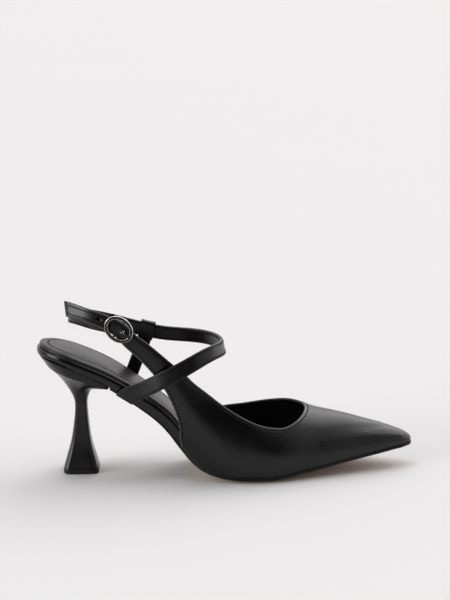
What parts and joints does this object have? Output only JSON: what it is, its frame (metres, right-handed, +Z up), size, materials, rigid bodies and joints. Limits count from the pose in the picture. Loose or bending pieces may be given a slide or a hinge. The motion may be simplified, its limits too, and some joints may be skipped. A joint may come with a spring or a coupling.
{
  "type": "pump shoe",
  "caption": "Pointed-toe slingback pump for the right foot, black leather, with a flared mid heel, low sides and a crossed ankle strap fastened by an oval buckle.",
  "frame": {"origin": "on the floor under the ball of the foot, on the outsole's tread spot", "axes": "+X to the toe, +Y to the inner side of the foot, +Z up"},
  "size_m": [0.2466, 0.0785, 0.1159],
  "materials": {
    "outsole": "tan underside with a black painted edge",
    "heel_cover": "black leather cover, satin",
    "heel_rubber": "black, matt",
    "rand_leather": "black leather wrap, satin",
    "sock_leather": "black lining leather, soft gloss",
    "upper_leather": "black smooth leather, satin",
    "strap_leather": "black smooth leather, satin, stitched edges",
    "buckle_metal": "polished black nickel"
  },
  "bodies": {
    "root": {"outsole": "outsole", "heel": "heel_cover", "heel_tip": "heel_rubber", "insole_board": "rand_leather", "sock_liner": "sock_leather", "upper": "upper_leather", "ankle_strap": "strap_leather", "medial_tab": "strap_leather", "buckle_frame": "buckle_metal", "buckle_prong": "buckle_metal"}
  },
  "joints": []
}
